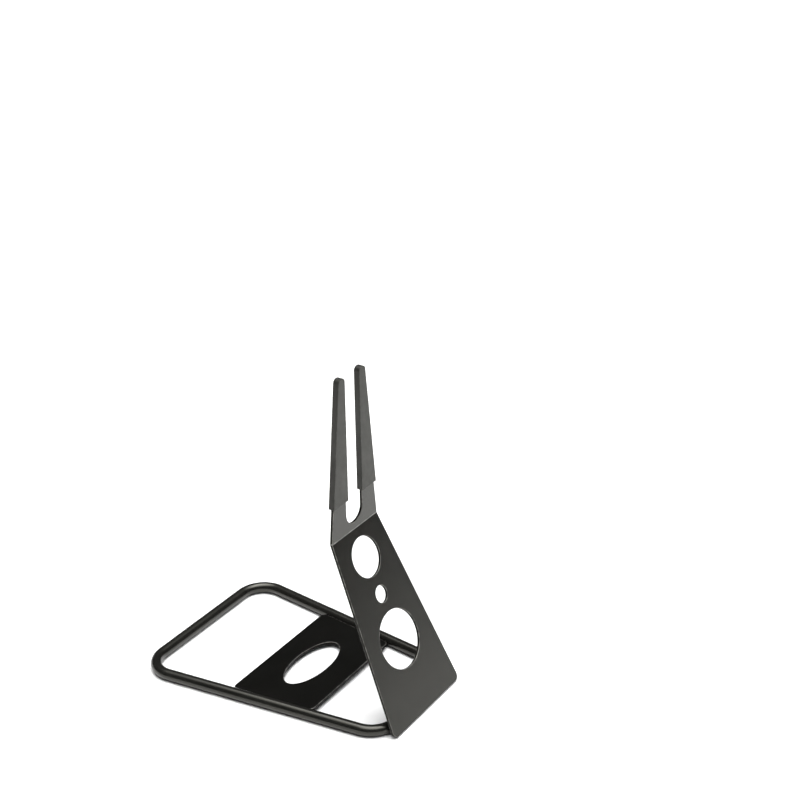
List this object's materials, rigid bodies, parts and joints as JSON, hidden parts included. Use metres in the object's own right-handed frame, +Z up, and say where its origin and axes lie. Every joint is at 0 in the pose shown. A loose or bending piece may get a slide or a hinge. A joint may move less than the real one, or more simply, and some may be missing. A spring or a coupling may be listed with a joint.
{
  "type": "bicycle floor stand",
  "caption": "Floor stand for a bicycle's rear wheel: tapered loop of round tube, pierced wheel plate and a bent, perforated sheet upright ending in a sleeved fork at the hub.",
  "frame": {"origin": "bottom centre of the bounding box, on the floor; the wheel's mid-plane is at x = 0.0079 m", "axes": "+Z up; +X across the bicycle, from the wheel out to the upright; +Y along the bicycle, to its rear"},
  "size_m": [0.3192, 0.2206, 0.3833],
  "materials": {
    "powder_coat": "satin black powder coat, fine orange peel",
    "coated_weld": "satin black powder coat over weld",
    "sleeve_plastic": "matte moulded, fine texture"
  },
  "bodies": {
    "root": {"base_loop": "powder_coat", "loop_butt_weld": "coated_weld", "wheel_plate": "powder_coat", "upright": "powder_coat", "front_sleeve": "sleeve_plastic", "rear_sleeve": "sleeve_plastic", "upright_weld_front": "coated_weld", "upright_weld_rear": "coated_weld", "plate_weld_front_near": "coated_weld", "plate_weld_front_far": "coated_weld", "plate_weld_rear_near": "coated_weld", "plate_weld_rear_far": "coated_weld"}
  },
  "joints": []
}
